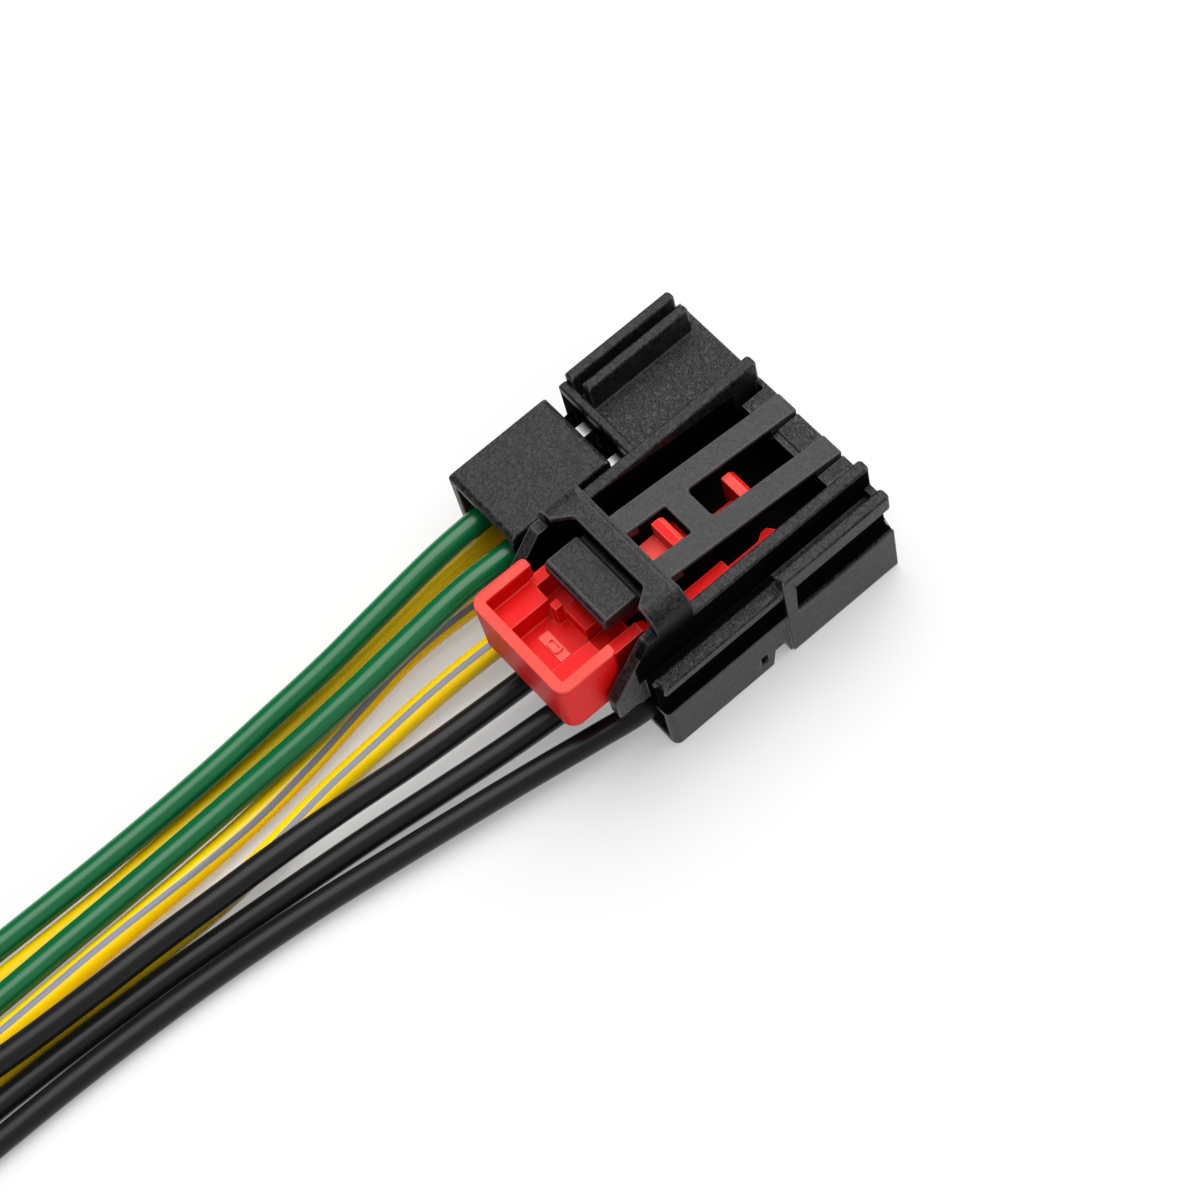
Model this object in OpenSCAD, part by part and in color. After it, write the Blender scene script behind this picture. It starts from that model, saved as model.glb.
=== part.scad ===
// Prewired connector plug: a black moulded housing with two rows of terminal
// cavities, a press latch between two ribs, a red slide that locks the latch,
// and one crimped terminal with a loose lead in each cavity.
// +Y is the mating direction, +Z is up, the leads leave towards -Y.
// The origin is the middle of the housing's underside.

/* [Housing] */
// Width of the housing over its side walls
body_w = 35.4; // [34.6:0.1:36.6]
// Length of the housing from its rear edge to its mating face
body_l = 31.3; // [30.6:0.1:32.4]
// Height of the block that holds the lower cavity row
base_h = 7.65; // [7.4:0.05:8]
// Height of the left deck that covers the upper cavity row
deck_h = 11; // [10.9:0.05:11.3]
// How far the left deck reaches past the mating face
nose_l = 1.15; // [0.6:0.05:2]
// Wall of the open shroud behind the cavities
shroud_t = 1; // [0.8:0.05:1.3]
// Depth of the open shroud behind the cavities
shroud_d = 3.8; // [3:0.1:3.9]
// Rounding of the moulded edges
edge_r = 0.3; // [0.15:0.05:0.4]
// Rounding of the upright edges at the front ends of ribs, keys and rails
nose_r = 0.5; // [0.3:0.05:0.6]
// Rounding of the upright edge at the rear right corner
corner_r = 0.9; // [0.6:0.05:0.95]

/* [Cavities] */
// Distance between neighbouring cavities
cav_pitch = 5.4; // [5.2:0.05:5.5]
// Sideways place of the cavity rows from the middle of the housing
cav_off = -0.3; // [-0.5:0.05:0]
// Width of a cavity
cav_w = 3.9; // [3.7:0.05:4.1]
// Height of a cavity
cav_h = 3.4; // [3.3:0.05:3.5]
// Height of the lower row's axes
row_z = 3.8; // [3.6:0.05:3.9]
// Height between the two rows
row_pitch = 5; // [4.9:0.05:5.1]
// Wall between the cavities and the mating face
front_wall = 4.6; // [4:0.1:5.2]
// Width of a blade opening in the mating face
blade_w = 3.2; // [3:0.05:3.4]
// Height of a blade opening in the mating face
blade_h = 1.2; // [1:0.05:1.4]
// Funnel round each blade opening
blade_lead = 0.4; // [0.2:0.05:0.5]

/* [Latch channel] */
// Sideways place of the latch from the middle of the housing
latch_x = 5.3; // [5:0.1:5.5]
// Clear width between the two channel ribs
chan_w = 16; // [15.8:0.1:16.2]
// Thickness of a channel rib
rib_t = 1.5; // [1.3:0.05:1.6]
// Height of the channel ribs
rib_h = 17.8; // [17.4:0.1:18.4]
// Length of the channel ribs ahead of the yoke
rib_l = 24; // [23.8:0.1:24.3]
// Rounding of the front upper end of a rib
rib_r = 0.4; // [0.3:0.05:0.6]
// Height of the channel floor
floor_h = 9.8; // [9.6:0.05:9.9]
// Height of the bottom of the well ahead of the channel floor
well_h = 6.7; // [6.6:0.05:6.9]
// Distance from the mating face to the rear of the well
well_y = 21.5; // [21:0.1:22]
// Height of the lands that close the channel at the front
land_h = 14.75; // [14.5:0.05:14.8]
// Length of those lands
land_l = 3.75; // [3.4:0.05:4.2]
// Lower step along the rear edge of the middle land
land_step = 0.4; // [0.2:0.05:0.6]
// Gap between an outer land and its channel rib
land_gap = 1.2; // [1:0.05:1.4]
// Front wall that closes that gap
land_wall = 0.6; // [0.4:0.05:0.8]

/* [Yoke and guards] */
// Height of the yoke over the latch
yoke_h = 22.25; // [22:0.05:22.8]
// Length of the yoke along the latch
yoke_l = 4.65; // [4.4:0.05:4.8]
// Thickness of the yoke's bridge
yoke_t = 2.5; // [2.2:0.05:2.6]
// Clearance of the latch arm under the yoke's bridge
yoke_gap = 1.05; // [0.9:0.05:1.2]
// Length of the low step along the yoke's front edge
lip_l = 0.5; // [0.3:0.05:0.7]
// Depth of that step
lip_d = 0.2; // [0.1:0.05:0.3]
// Rounding of the yoke's shoulders
yoke_r = 2.6; // [1.8:0.1:3]
// Width of the yoke's notch at its bottom
notch_w = 11; // [10.8:0.1:11.6]
// Width of the yoke's notch at its mouth
notch_mouth = 13.9; // [13.2:0.1:14.4]
// Depth of the yoke's notch
notch_d = 2; // [1.9:0.05:2.3]
// Height of the guard fins beside the slide
fin_h = 19; // [18.4:0.1:19.6]
// Flat top of a guard fin
fin_top = 1.3; // [0.8:0.1:1.8]
// Reach of a guard fin behind the yoke
fin_l = 6.7; // [6.2:0.05:7]
// Height of the knee in a guard fin's rear edge
fin_knee = 12.5; // [12:0.1:13]
// Lower edge of a guard fin behind the housing
fin_foot = 9.2; // [8.8:0.1:9.5]

/* [Rear hood] */
// Height of the hood over the upper leads
hood_h = 13.65; // [13.2:0.05:14.2]
// Length of the hood
hood_l = 13.7; // [13.4:0.1:14]
// Gap between the hood and the channel rib
hood_gap = 2.7; // [2.4:0.1:3]
// Roof of the hood
hood_t = 1.2; // [0.9:0.05:1.6]
// Rounding of the hood's rear edge
hood_r = 0.8; // [0.4:0.05:1]
// Length of the open slot ahead of the hood
slot_l = 1.8; // [1.5:0.05:2.1]
// Height of the floor of that slot
slot_h = 7.5; // [7.3:0.05:7.7]
// Length of the cross strip ahead of the slot
strip_l = 1.1; // [0.9:0.05:1.4]
// Height of the cross strip
strip_h = 13.85; // [13.4:0.05:14.4]

/* [Keys] */
// Height of the two key ribs on the left deck
key_h = 15.1; // [14.6:0.1:15.8]
// Thickness of a key rib
key_t = 1.3; // [1.1:0.05:1.5]
// Gap between the two key ribs
key_gap = 1; // [0.8:0.05:1.3]
// Rounding of the key ribs' ends
key_r = 0.4; // [0.3:0.05:0.6]
// Distance of the inner key rib from the cross strip
key_y = 0.5; // [0.3:0.1:1]
// Height of the right rail
rail_h = 15.45; // [15:0.05:16]
// Thickness of the right rail
rail_t = 1.45; // [1.3:0.05:1.6]
// Height of the pocket's roof under the right rail
rail_under = 12.85; // [12.4:0.05:12.9]
// Length of the right rail
rail_l = 14.85; // [14.4:0.05:15.4]
// Length of the post at the rear of the pocket
post_l = 1.4; // [1.1:0.05:1.8]
// Height of the right deck beside the channel
side_h = 13.1; // [12.95:0.05:13.2]
// Height of the thin rail behind the right rail
thin_h = 13.4; // [13.25:0.05:13.6]
// Height of the underside of the thin rail
thin_under = 11.9; // [11.6:0.05:12.2]
// Step of the right side behind the right rail
side_step = 0.3; // [0.15:0.05:0.5]
// Front wall between the channel rib and the right rail
bridge_t = 1.2; // [0.9:0.05:1.6]
// Length of the notch in the right lower edge
foot_l = 2.4; // [2:0.1:2.8]
// Height of the notch in the right lower edge
foot_h = 3.4; // [3:0.1:3.8]
// Depth of the notch in the right lower edge
foot_d = 1.1; // [0.8:0.1:1.3]
// Taper of the notch's two flanks
foot_taper = 0.7; // [0.4:0.1:0.9]
// Length of the small recess beside the notch
dent_l = 0.8; // [0.6:0.1:1]
// Height of the small recess beside the notch
dent_h = 1.7; // [1.4:0.1:2]
// Web between the notch and the small recess
dent_web = 0.6; // [0.4:0.1:0.8]

/* [Latch lever] */
// Width of the latch arm
arm_w = 9.9; // [9.7:0.1:10]
// Thickness of the latch arm
arm_t = 1.5; // [1.4:0.05:1.6]
// Height of the arm's upper face at its front end
arm_h = 15.25; // [15.2:0.05:15.4]
// Rise of the arm towards the rear, in degrees
arm_rise = 7.4; // [7.2:0.1:7.6]
// Width of the two windows in the arm
window_w = 4.2; // [4.1:0.05:4.4]
// Distance from the arm's front end to its cross bar
bar_y = 15.05; // [14.9:0.05:15.2]
// Length of the cross bar
bar_l = 2.95; // [2.7:0.05:3]
// Length of the rear window
rear_window = 7.2; // [7:0.05:7.4]
// Distance from the arm's front end to the press tab
tab_y = 26.9; // [26.8:0.05:27.1]
// Length of the press tab
tab_l = 4.95; // [4.6:0.05:5]
// Width of the press tab
tab_w = 9.55; // [9.2:0.05:9.8]
// Height of the press tab
tab_h = 19.9; // [19.7:0.05:20]
// Thickness of the press tab at its rear edge
tab_t = 2; // [1.7:0.05:2]
// Rounding of the press tab's edges
tab_r = 0.5; // [0.3:0.05:0.7]
// Radius of the round root that the arm turns on
root_r = 1; // [0.9:0.05:1]
// Distance from the front end to the root's axis
root_y = 1.3; // [1.25:0.05:1.4]
// Running clearance round the root
root_gap = 0.05; // [0.03:0.01:0.08]
// Clearance beside the arm's legs
leg_gap = 0.15; // [0.1:0.05:0.25]

/* [Locking slide] */
// Width of the slide's tray
tray_w = 15; // [14.6:0.1:15.2]
// Length of the slide's tray
tray_l = 7.4; // [7:0.1:7.8]
// Height of the tray's rim
tray_h = 18.5; // [18:0.1:19]
// Distance from the mating face to the tray
tray_y = 32.6; // [32.55:0.05:32.8]
// Rim of the tray
tray_t = 1.3; // [1.1:0.05:1.5]
// Rounding of the tray's rear corners
tray_r = 1.5; // [0.8:0.1:2]
// Rounding of the front ends of the tray's rim
rim_r = 0.6; // [0.3:0.05:0.65]
// Rake of the tray's front edge from its rim to its underside
tray_rake = 2.2; // [1.6:0.1:2.8]
// Height of the post beside the trough
stud_h = 16; // [15.4:0.1:16.6]
// Side of the post beside the trough
stud_w = 1; // [0.8:0.05:1.2]
// Place of the post from the latch axis
stud_x = 2.1; // [1.9:0.1:2.3]
// Height of the tray's two shoulders
shoulder_h = 15.7; // [15:0.1:16.4]
// Width of the trough between the shoulders
trough_w = 6.5; // [6:0.1:7]
// Height of the trough
trough_h = 12.6; // [12.2:0.1:13]
// Length of the recess ahead of the shoulders
recess_l = 0.6; // [0.4:0.05:0.8]
// Length of the pad in the trough
pad_l = 1.35; // [1.1:0.05:1.6]
// Width of the pad in the trough
pad_w = 3.8; // [3.2:0.1:4.4]
// Height of the pad above the trough
pad_h = 0.3; // [0.2:0.05:0.5]
// Distance from the tray's front to the pad
pad_y = 2.4; // [2.2:0.1:3]
// Width of the tongue under the latch arm
tongue_w = 3.6; // [3.4:0.1:3.7]
// Height of the tongue behind its rear lug
tongue_h = 14.8; // [14.4:0.05:14.85]
// Height of the ledge ahead of the rear lug
ledge_h = 14.2; // [13.8:0.05:14.3]
// Length of the ledge ahead of the rear lug
ledge_l = 1; // [0.8:0.05:1.2]
// Height of the tongue between its lugs
web_h = 11.6; // [11.2:0.1:12]
// Width of the tongue between its lugs
web_w = 1.3; // [1.2:0.05:1.4]
// Distance from the mating face to the tongue's front end
tongue_y = 9.4; // [9.2:0.05:9.6]
// Length of the tongue's front lug
tip_l = 1.6; // [1.4:0.05:1.7]
// Height of the tongue's front lug
tip_h = 14.8; // [14.5:0.05:15]
// Distance from the mating face to the rear lug
lug_y = 18.7; // [18.6:0.05:18.9]
// Length of the rear lug
lug_l = 1.6; // [1.4:0.05:1.7]
// Height of the rear lug
lug_h = 17; // [16.6:0.05:17.2]
// Distance from the latch axis to a prong's inner face
prong_x = 5.1; // [5.1:0.05:5.2]
// Width of a prong
prong_w = 1.4; // [1.3:0.05:1.5]
// Height of a prong
prong_h = 14; // [13.6:0.05:14.2]
// Height of a prong beside the press tab
prong_rise = 16; // [15.4:0.1:16.4]
// Height of the plate that joins the prongs and the tongue
plate_h = 12.4; // [12:0.05:12.6]
// Reach of that plate ahead of the tray
plate_l = 4; // [3:0.1:5]
// Distance from the mating face to the prong's thin end
thin_y = 17; // [16.6:0.1:17.4]
// Width of the prong's thin end
thin_w = 0.8; // [0.7:0.05:0.9]
// Distance from the mating face to a prong's tip
prong_y = 10; // [9.8:0.1:10.4]
// Length of the barb at a prong's tip
hook_l = 2.6; // [2.2:0.1:3]
// Ramp of the barb at a prong's tip
hook_ramp = 0.9; // [0.6:0.1:1.1]
// Height of the prong's thin end and barb
hook_h = 13.1; // [12.8:0.05:13.4]
// Clearance between the slide and the channel floor
slide_gap = 0.3; // [0.2:0.05:0.4]

/* [Terminals and leads] */
// Length of a terminal's box
box_l = 10.8; // [10.4:0.1:11]
// Width of the folded neck behind a terminal's box
neck_w = 1.5; // [1.3:0.05:1.7]
// Height of the folded neck behind a terminal's box
neck_h = 2.6; // [2.4:0.05:2.8]
// Width of a terminal's box
box_w = 3.2; // [3:0.05:3.4]
// Height of a terminal's box
box_h = 2.9; // [2.8:0.05:3]
// Sheet thickness of a terminal
sheet_t = 0.35; // [0.3:0.01:0.45]
// Diameter of a lead over its insulation
lead_d = 2.8; // [2.7:0.05:2.85]
// Distance from the mating face to the end of the insulation
strip_y = 22.15; // [21.9:0.05:22.4]
// Diameter of the closed conductor crimp
crimp_d = 2.1; // [1.9:0.05:2.3]
// Length of the conductor crimp
crimp_l = 3.2; // [2.8:0.1:3.4]
// Length of the insulation crimp
grip_l = 2.4; // [2:0.1:2.8]
// Distance from the end of the insulation to its crimp
grip_y = 1.2; // [0.8:0.1:1.6]

/* [Hidden] */

$fn = 32;
eps = 0.01;
lead_sides = 8;
grip_gap = 0.02;
root_skin = 0.1;
sink = 1.5;
past = 1;

left_x = -body_w / 2;
right_x = body_w / 2;
front_y = body_l / 2;
rear_y = -body_l / 2;

rib_in = chan_w / 2;
rib_out = rib_in + rib_t;
yoke_y = -rib_l;
fin_y = yoke_y - yoke_l;
chan_left = latch_x - rib_out;
chan_right = latch_x + rib_out;
slot_y = rear_y + hood_l;
strip_rear = slot_y + slot_l;
strip_front = strip_rear + strip_l;
hood_right = chan_left - hood_gap;
rail_in = right_x - rail_t;
rail_rear = front_y - rail_l;
step_x = right_x - side_step;

root_h = arm_h + root_y * tan(arm_rise) - root_r - root_skin;
arm_end = tab_y + tab_l;
bar_end = bar_y + bar_l;
bridge_y = -fin_y - notch_d;
bridge_z = yoke_h - yoke_t - yoke_gap;
window_x = window_w / 2;
slide_z = floor_h + slide_gap;

// Cavities of the lower row and of the upper row, both counted from the left
columns = 6;
upper_columns = 2;

// Route of each lead behind the housing, laid down to the surface it rests on
routes = [
    [[-13.7, -22, 8.5], [-13.3, -30, 7.6], [-12.9, -38, 6.6], [-12.8, -46, 5.7], [-12.7, -54, 4.9],
     [-12.8, -62, 4.2], [-13, -70, 3.7], [-13.3, -78, 3.3], [-13.6, -86, 3], [-14.1, -94, 2.7],
     [-14.9, -102, 2.2], [-15.1, -110, 1.7], [-15, -118, 1.4]],
    [[-8.7, -22, 8.5], [-8.5, -30, 7.7], [-8.2, -38, 6.9], [-8.2, -46, 5.9], [-8.4, -54, 4.9],
     [-8.5, -62, 4.2], [-8.6, -70, 3.7], [-8.7, -78, 3.3], [-8.7, -86, 3], [-8.8, -94, 2.6],
     [-9, -102, 2], [-9.1, -110, 1.6], [-9, -118, 1.4]],
    [[-13.6, -22, 3.6], [-13, -30, 2.9], [-12.5, -38, 2.3], [-12, -46, 1.9], [-11.6, -54, 1.6],
     [-11.2, -62, 1.5], [-10.9, -70, 1.4], [-10.9, -78, 1.4], [-11, -86, 1.4], [-11.3, -94, 1.4],
     [-11.9, -102, 1.4], [-12.1, -110, 1.4], [-12, -118, 1.4]],
    [[-9.1, -22, 3.8], [-9.4, -30, 3.3], [-8.5, -38, 2.8], [-7.4, -46, 2.4], [-6.6, -54, 2.1],
     [-6.3, -62, 1.9], [-6.2, -70, 1.8], [-6.1, -78, 1.7], [-6, -86, 1.6], [-6, -94, 1.5],
     [-6.1, -102, 1.4], [-6.1, -110, 1.4], [-6, -118, 1.4]],
    [[-3.5, -22, 3.6], [-4, -30, 2.8], [-4, -38, 2], [-3.7, -46, 1.6], [-2.8, -54, 1.4],
     [-2, -62, 1.4], [-2.1, -70, 1.4], [-2.5, -78, 1.4], [-2.9, -86, 1.4], [-3.1, -94, 1.4],
     [-3.1, -102, 1.4], [-3.1, -110, 1.4], [-3, -118, 1.4]],
    [[2, -22, 3.8], [1.5, -30, 3.8], [0.9, -38, 3.9], [0.1, -46, 4.2], [-0.6, -54, 4.3],
     [-1.1, -62, 4.3], [-1.6, -70, 4.3], [-1.9, -78, 4.3], [-2.3, -86, 4.3], [-2.9, -94, 4.3],
     [-3.4, -102, 4.3], [-3.8, -110, 4.2], [-4, -118, 4.1]],
    [[7.3, -22, 3.8], [6.3, -30, 3.3], [5.1, -38, 2.9], [3.8, -46, 2.4], [2.7, -54, 1.9],
     [1.7, -62, 1.5], [0.9, -70, 1.4], [0.4, -78, 1.4], [0, -86, 1.4], [-0.2, -94, 1.4],
     [-0.2, -102, 1.4], [-0.1, -110, 1.4], [0, -118, 1.4]],
    [[12.1, -22, 3.6], [10.3, -30, 2.9], [8.7, -38, 2.4], [7.2, -46, 2], [5.8, -54, 1.7],
     [4.7, -62, 1.5], [3.9, -70, 1.4], [3.4, -78, 1.4], [3.1, -86, 1.4], [3, -94, 1.4],
     [3, -102, 1.4], [3, -110, 1.4], [3, -118, 1.4]],
];

function upper(i) = i < upper_columns;
function column(i) = upper(i) ? i : i - upper_columns;
function way_x(i) = cav_off + (column(i) - (columns - 1) / 2) * cav_pitch;
function way_z(i) = upper(i) ? row_z + row_pitch : row_z;

// Upper face of the latch arm: one slope as far as the cross bar, then straight on to the yoke's bridge
function front_slope(y) = arm_h + y * tan(arm_rise);
function rear_slope(y) =
    front_slope(bar_end) + (bridge_z - front_slope(bar_end)) * (y - bar_end) / (bridge_y - bar_end);
function arm_top(y) = y > bar_end ? rear_slope(y) : front_slope(y);

function unit(v) = v / norm(v);
function heading(p, i) = unit(p[min(i + 1, len(p) - 1)] - p[max(i - 1, 0)]);
function ring(c, t, r) =
    let (s = unit(cross(t, [0, 0, 1])), u = cross(s, t))
    [for (k = [0 : lead_sides - 1]) c + r * (cos(360 * k / lead_sides) * s + sin(360 * k / lead_sides) * u)];

// A box given by its limits
module span(x, y, z) {
    translate([x[0], y[0], z[0]])
        cube([x[1] - x[0], y[1] - y[0], z[1] - z[0]]);
}

// A rectangle with four round corners
module soft_rect(x, y, r) {
    translate([x[0] + r, y[0]])
        square([x[1] - x[0] - 2 * r, y[1] - y[0]]);
    translate([x[0], y[0] + r])
        square([x[1] - x[0], y[1] - y[0] - 2 * r]);
    for (px = [x[0] + r, x[1] - r], py = [y[0] + r, y[1] - r])
        translate([px, py])
            circle(r);
}

// A profile drawn in Y and Z, drawn out along X
module along_x(x) {
    translate([x[0], 0, 0])
        rotate([90, 0, 90])
            linear_extrude(x[1] - x[0])
                children();
}

// A profile drawn in X and Z, drawn out along Y
module along_y(y) {
    translate([0, y[1], 0])
        rotate([90, 0, 0])
            linear_extrude(y[1] - y[0])
                children();
}

// A profile drawn in X and Y, drawn out along Z
module along_z(z) {
    translate([0, 0, z[0]])
        linear_extrude(z[1] - z[0])
            children();
}

// A bar with round edges along its length and round ends, sunk into what carries it
module rounded_bar(x, y, z, r, end_r) {
    intersection() {
        along_y(y)
            soft_rect(x, z, r);
        along_x(x)
            soft_rect(y, z, end_r);
    }
}

// A rounded bar whose upright front edges are round too
module nosed_bar(x, y, z, r, end_r) {
    intersection() {
        rounded_bar(x, y, z, r, end_r);
        along_z(z)
            soft_rect(x, [y[0] - 2 * nose_r, y[1]], nose_r);
    }
}

// Things that are placed from the latch axis and the mating face
module at_latch() {
    translate([latch_x, front_y, 0])
        children();
}

// The blocks that hold the two cavity rows
module blocks() {
    span([left_x, step_x], [rear_y, front_y], [0, base_h]);
    span([rail_in, right_x], [rail_rear, front_y], [0, base_h]);
    span([left_x, chan_left + eps], [rear_y, front_y + nose_l], [0, deck_h]);
    span([chan_left, chan_right], [rear_y, front_y], [base_h - eps, floor_h]);
}

// One rib of the latch channel with its guard fin
module rib(side) {
    x = side > 0 ? [rib_in, rib_out] : [-rib_out, -rib_in];
    nosed_bar(x, [yoke_y - sink, 0], [base_h - sink, rib_h], edge_r, rib_r);
    along_x(x)
        polygon([
            [fin_y + eps, base_h], [fin_y + eps, fin_h], [fin_y - fin_top, fin_h], [fin_y - fin_l, fin_knee],
            [fin_y - fin_l, fin_foot + edge_r], [fin_y - fin_l + edge_r, fin_foot],
            [-body_l - sink, fin_foot], [-body_l, base_h],
        ]);
}

// The bridge over the latch arm, with its notch for the press tab
module yoke() {
    difference() {
        along_y([fin_y, yoke_y])
            soft_rect([-rib_out, rib_out], [0, yoke_h], yoke_r);
        along_y([fin_y - past, yoke_y + past])
            soft_rect([-rib_in, rib_in], [0, yoke_h - yoke_t], edge_r);
        span([-rib_in, rib_in], [fin_y - past, yoke_y + past], [-past, floor_h]);
        span([-rib_out, rib_out], [yoke_y - lip_l, yoke_y + past], [yoke_h - lip_d, yoke_h + past]);
        along_z([yoke_h - yoke_t - past, yoke_h + past])
            polygon([
                [-notch_w / 2, fin_y + notch_d], [notch_w / 2, fin_y + notch_d],
                [notch_mouth / 2, fin_y - eps], [-notch_mouth / 2, fin_y - eps],
            ]);
    }
}

// Wall across the front of the channel, with a slot and a round seat for each leg of the arm
module lands() {
    leg = [window_x - leg_gap, arm_w / 2 + leg_gap];
    difference() {
        span([-rib_in, rib_in], [-land_l, 0], [floor_h - eps, land_h]);
        for (side = [-1, 1]) {
            x = side > 0 ? leg : [-leg[1], -leg[0]];
            span(x, [-land_l - past, -root_y], [root_h - root_r, land_h + past]);
            span(x, [-root_y - eps, past], [root_h, land_h + past]);
            along_x(x)
                translate([-root_y, root_h])
                    circle(root_r + root_gap);
        }
        span([-window_x, window_x], [-land_l - past, -land_l + 2 * land_step],
            [land_h - land_step, land_h + past]);
    }
}

// Well under the latch, open upwards, and the gaps beside the outer lands
module well() {
    span([-rib_in, rib_in], [-well_y, -land_l], [well_h, floor_h + past]);
    for (x = [-rib_in, rib_in - land_gap])
        span([x, x + land_gap], [-land_l - eps, -land_wall], [well_h, land_h + past]);
}

// Hood over the upper leads, the cross strip and the two key ribs on the left deck
module left_side() {
    low = deck_h - sink;
    outer = [left_x, left_x + key_t];
    inner = [outer[1] + key_gap, outer[1] + key_gap + key_t];
    rounded_bar([left_x, hood_right], [rear_y, slot_y], [low, hood_h], edge_r, hood_r);
    span([left_x, hood_right], [rear_y, slot_y], [low, deck_h]);
    rounded_bar([left_x, chan_left - key_gap], [strip_rear, strip_front], [low, strip_h], edge_r, edge_r);
    nosed_bar(outer, [strip_front, front_y], [low, key_h], edge_r, key_r);
    nosed_bar(inner, [strip_front + key_y, front_y], [low, key_h], edge_r, key_r);
}

// Rails, decks and the open pocket on the right
module right_side() {
    span([chan_right - eps, rail_in], [rear_y, front_y], [base_h - eps, side_h]);
    span([chan_right - eps, rail_in + eps], [front_y - bridge_t, front_y - edge_r], [base_h, land_h]);
    nosed_bar([rail_in, right_x], [rail_rear, front_y], [rail_under, rail_h], edge_r, key_r);
    span([rail_in - eps, right_x], [rail_rear, rail_rear + post_l], [base_h - eps, rail_under + key_r]);
    rounded_bar([rail_in - 2 * edge_r, step_x], [rear_y + edge_r, rail_rear + 2 * edge_r],
        [thin_under, thin_h], edge_r, 2 * edge_r);
}

// Notch and small recess in the lower right edge
module foot_cut() {
    x = [step_x - foot_d, right_x + past];
    y = [rail_rear - side_step - foot_l, rail_rear - side_step];
    along_x(x)
        polygon([
            [y[0], -past], [y[0], 0], [y[0] + foot_taper, foot_h], [y[1] - foot_taper, foot_h],
            [y[1], 0], [y[1], -past],
        ]);
    span(x, [y[0] - dent_web - dent_l, y[0] - dent_web], [foot_h - dent_h, foot_h]);
}

// Rounding of the upright edge at the rear right corner
module corner_cut() {
    x = step_x - corner_r;
    along_z([-past, base_h + past])
        difference() {
            translate([x, rear_y - past])
                square(corner_r + past);
            translate([x, rear_y + corner_r])
                circle(corner_r);
        }
}

// One terminal cavity with its blade opening
module cavity(i) {
    x = way_x(i);
    z = way_z(i);
    face_y = front_y + (column(i) < upper_columns ? nose_l : 0);
    span([x - cav_w / 2, x + cav_w / 2], [rear_y - past, front_y - front_wall],
        [z - cav_h / 2, z + cav_h / 2]);
    span([x - blade_w / 2, x + blade_w / 2], [front_y - front_wall - past, face_y + past],
        [z - blade_h / 2, z + blade_h / 2]);
    along_x([x - blade_w / 2, x + blade_w / 2])
        polygon([
            [face_y - blade_lead, z], [face_y + eps, z - blade_h / 2 - blade_lead],
            [face_y + eps, z + blade_h / 2 + blade_lead],
        ]);
}

// Open space behind the cavities, as far as the given right wall and roof
module shroud(right, roof) {
    span([left_x + shroud_t, right - shroud_t], [rear_y - past, rear_y + shroud_d], [shroud_t, roof]);
}

module housing() {
    color([0.16, 0.16, 0.17])
        difference() {
            union() {
                blocks();
                left_side();
                right_side();
                at_latch() {
                    rib(-1);
                    rib(1);
                    yoke();
                    lands();
                }
            }
            for (i = [0 : upper_columns + columns - 1])
                cavity(i);
            shroud(step_x, base_h - shroud_t);
            shroud(rail_in, floor_h - shroud_t);
            shroud(hood_right, hood_h - hood_t);
            span([left_x - past, chan_left - shroud_t], [slot_y, strip_rear], [slot_h, hood_h + past]);
            foot_cut();
            corner_cut();
            at_latch()
                well();
        }
}

// Side profile of the latch arm with its press tab
module arm_profile() {
    polygon([
        [0, arm_top(0)], [-bar_end, arm_top(bar_end)], [-tab_y, arm_top(tab_y)], [-tab_y - tab_r, tab_h],
        [-arm_end + tab_r, tab_h], [-arm_end, tab_h - tab_r], [-arm_end, tab_h - tab_t],
        [-tab_y, arm_top(tab_y) - arm_t], [-bar_end, arm_top(bar_end) - arm_t],
        [-root_y, arm_top(root_y) - arm_t], [-root_y, root_h + root_gap], [0, root_h + root_gap],
    ]);
    translate([-root_y, root_h])
        circle(root_r);
}

module latch_lever() {
    flank = (arm_w - tab_w) / 2;
    color([0.16, 0.16, 0.17])
        at_latch()
            difference() {
                along_x([-arm_w / 2, arm_w / 2])
                    arm_profile();
                along_z([0, yoke_h])
                    soft_rect([-window_x, window_x], [-bar_y, sink], 2 * edge_r);
                span([-window_x, window_x], [-bar_end - rear_window, -bar_end], [0, yoke_h]);
                for (x = [-arm_w / 2, arm_w / 2])
                    span([x - flank, x + flank], [-arm_end - past, -tab_y], [0, yoke_h]);
            }
}

// Tray at the rear of the slide, open at its front
module tray() {
    inner = tray_w / 2 - tray_t;
    back = -tray_y - tray_l;
    difference() {
        intersection() {
            along_z([slide_z, tray_h])
                intersection() {
                    soft_rect([-tray_w / 2, tray_w / 2], [back, -tray_y + tray_r], tray_r);
                    soft_rect([-tray_w / 2, tray_w / 2], [back - tray_r, -tray_y], rim_r);
                }
            along_x([-tray_w / 2, tray_w / 2])
                polygon([
                    [-tray_y, tray_h], [-tray_y, shoulder_h], [-tray_y - tray_rake, slide_z],
                    [back, slide_z], [back, tray_h],
                ]);
        }
        span([-inner, inner], [back + tray_t, 0], [shoulder_h, tray_h + past]);
        span([-trough_w / 2, trough_w / 2], [back + tray_t, 0], [trough_h, tray_h + past]);
        span([-inner, inner], [-tray_y - recess_l, 0], [trough_h, tray_h + past]);
    }
    span([-stud_x - stud_w / 2, -stud_x + stud_w / 2], [-tray_y - stud_w, -tray_y], [plate_h - eps, stud_h]);
    pad();
}

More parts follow.
